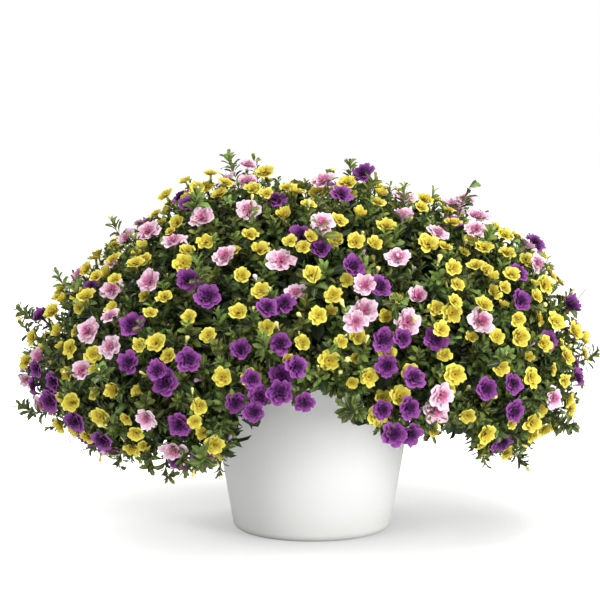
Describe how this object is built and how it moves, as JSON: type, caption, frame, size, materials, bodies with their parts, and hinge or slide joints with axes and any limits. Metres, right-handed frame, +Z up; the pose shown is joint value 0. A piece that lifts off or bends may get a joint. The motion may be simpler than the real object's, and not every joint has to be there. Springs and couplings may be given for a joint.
{
  "type": "potted calibrachoa",
  "caption": "Calibrachoa with small double blooms in yellow, purple and pink, mounding over a plain white tapered tub.",
  "frame": {"origin": "centre of the tub's flat base, on the ground", "axes": "+Z up along the tub's axis, -Y towards the front, +X to the right"},
  "size_m": [0.7647, 0.6518, 0.4907],
  "materials": {
    "tub": "satin white",
    "soil": null,
    "leaf": null,
    "yellow_petal": null,
    "purple_petal": null,
    "pink_petal": null
  },
  "bodies": {
    "root": {"tub": "tub", "soil": "soil", "yellow_truss_1": "yellow_petal", "yellow_truss_2": "yellow_petal", "yellow_truss_3": "yellow_petal", "yellow_truss_4": "yellow_petal", "yellow_truss_5": "yellow_petal", "yellow_truss_6": "yellow_petal", "yellow_truss_7": "yellow_petal", "yellow_truss_8": "yellow_petal", "yellow_truss_9": "yellow_petal", "yellow_truss_10": "yellow_petal", "yellow_truss_11": "yellow_petal", "yellow_truss_12": "yellow_petal", "yellow_truss_13": "yellow_petal", "yellow_truss_14": "yellow_petal", "yellow_truss_15": "yellow_petal", "yellow_truss_16": "yellow_petal", "yellow_truss_17": "yellow_petal", "yellow_truss_18": "yellow_petal", "yellow_truss_19": "yellow_petal", "yellow_truss_20": "yellow_petal", "yellow_truss_21": "yellow_petal", "yellow_truss_22": "yellow_petal", "yellow_truss_23": "yellow_petal", "yellow_truss_24": "yellow_petal", "yellow_truss_25": "yellow_petal", "purple_truss_1": "purple_petal", "purple_truss_2": "purple_petal", "purple_truss_3": "purple_petal", "purple_truss_4": "purple_petal", "purple_truss_5": "purple_petal", "purple_truss_6": "purple_petal", "purple_truss_7": "purple_petal", "purple_truss_8": "purple_petal", "purple_truss_9": "purple_petal", "purple_truss_10": "purple_petal", "pink_truss_1": "pink_petal", "pink_truss_2": "pink_petal", "pink_truss_3": "pink_petal", "pink_truss_4": "pink_petal", "pink_truss_5": "pink_petal", "pink_truss_6": "pink_petal", "pink_truss_7": "pink_petal", "pink_truss_8": "pink_petal", "pink_truss_9": "pink_petal", "crown_spray_1": "leaf", "crown_spray_2": "leaf", "crown_spray_3": "leaf", "crown_spray_4": "leaf", "skirt_spray_1": "leaf", "skirt_spray_2": "leaf", "skirt_spray_3": "leaf", "skirt_spray_4": "leaf", "skirt_spray_5": "leaf", "skirt_spray_6": "leaf", "skirt_spray_7": "leaf", "skirt_spray_8": "leaf", "skirt_spray_9": "leaf", "skirt_spray_10": "leaf"}
  },
  "joints": []
}
